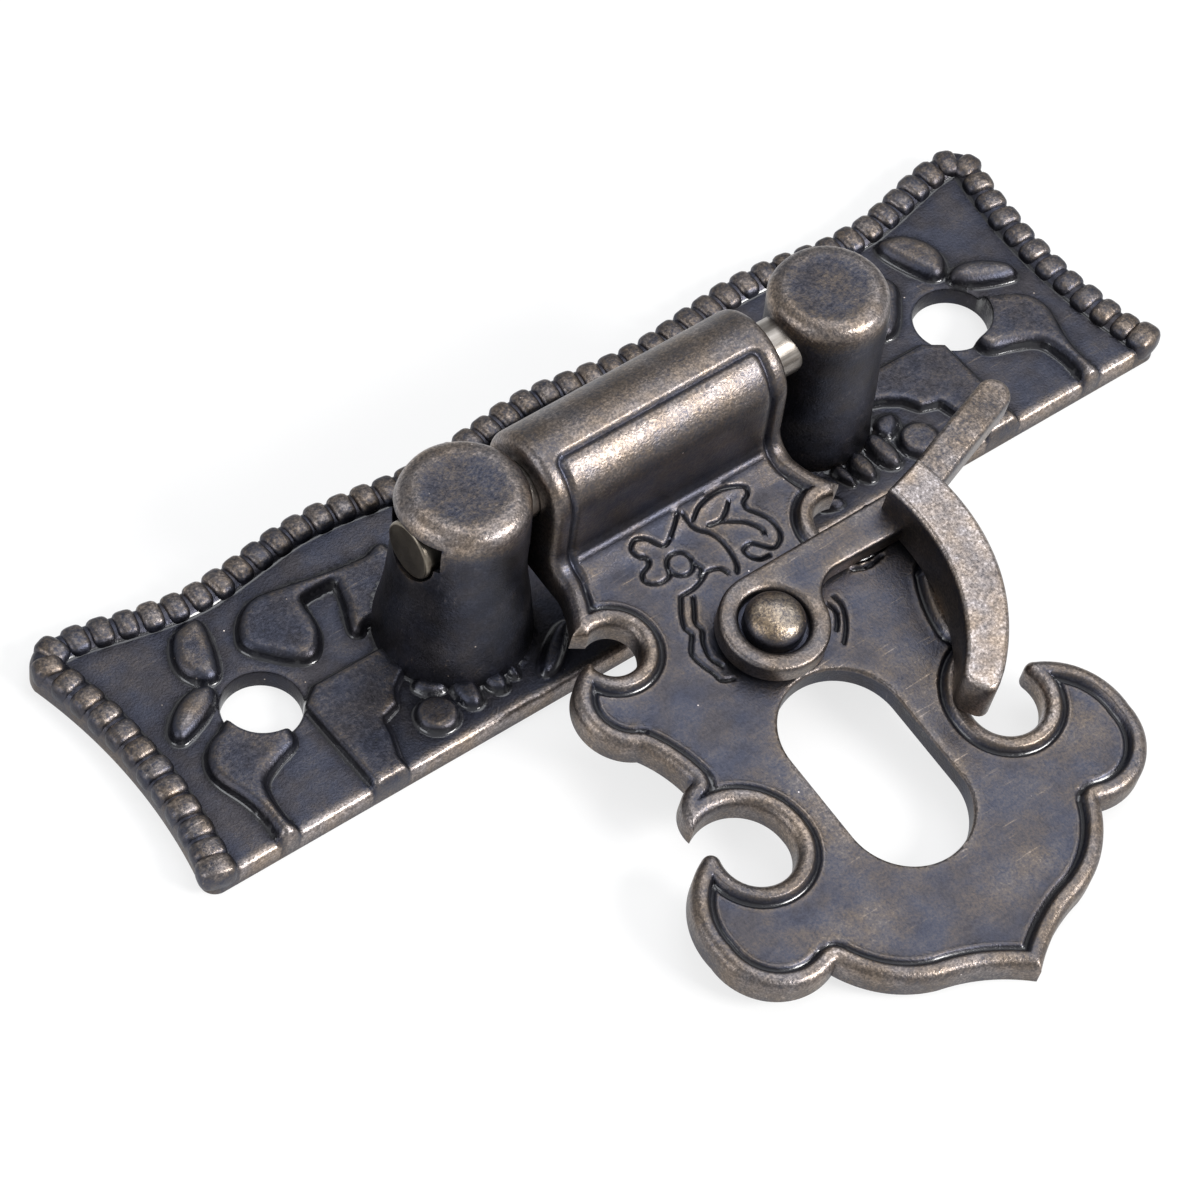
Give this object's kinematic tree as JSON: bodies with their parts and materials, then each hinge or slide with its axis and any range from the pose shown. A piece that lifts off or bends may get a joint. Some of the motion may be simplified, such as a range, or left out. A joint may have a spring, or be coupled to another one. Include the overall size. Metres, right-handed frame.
{
  "type": "hasp latch",
  "caption": "Antique bronze hasp latch: a beaded screw plate with hinge posts, a scrolled hasp with a staple slot, and a riveted swing catch that locks it.",
  "frame": {"origin": "midway between the screw holes, on the back face of the plate", "axes": "+X along the plate, +Y towards its beaded back edge and away from the hasp, +Z out of the plate"},
  "size_m": [0.0706, 0.0502, 0.0143],
  "materials": {
    "antique_casting": "antique bronze plating, dark in the hollows and worn to a brassy tan on the edges",
    "steel_pin": "dull steel",
    "rivet_metal": "worn satin"
  },
  "bodies": {
    "base": {"base_plate": "antique_casting", "hinge_pin": "steel_pin"},
    "hasp_leaf": {"hasp": "antique_casting", "catch_rivet": "rivet_metal"},
    "catch": {"swing_catch": "antique_casting"}
  },
  "joints": [
    {"name": "hasp_hinge", "type": "hinge", "parent": "base", "child": "hasp_leaf", "pos_m": [-0.00055, -0.0014, 0.0109], "axis": [-1, 0, 0], "range_deg": [0, 190]},
    {"name": "catch_pivot", "type": "hinge", "parent": "hasp_leaf", "child": "catch", "pos_m": [-0.00055, -0.01445, 0.00533], "axis": [0, 0.1407, -0.99], "range_deg": [-12, 90]}
  ]
}
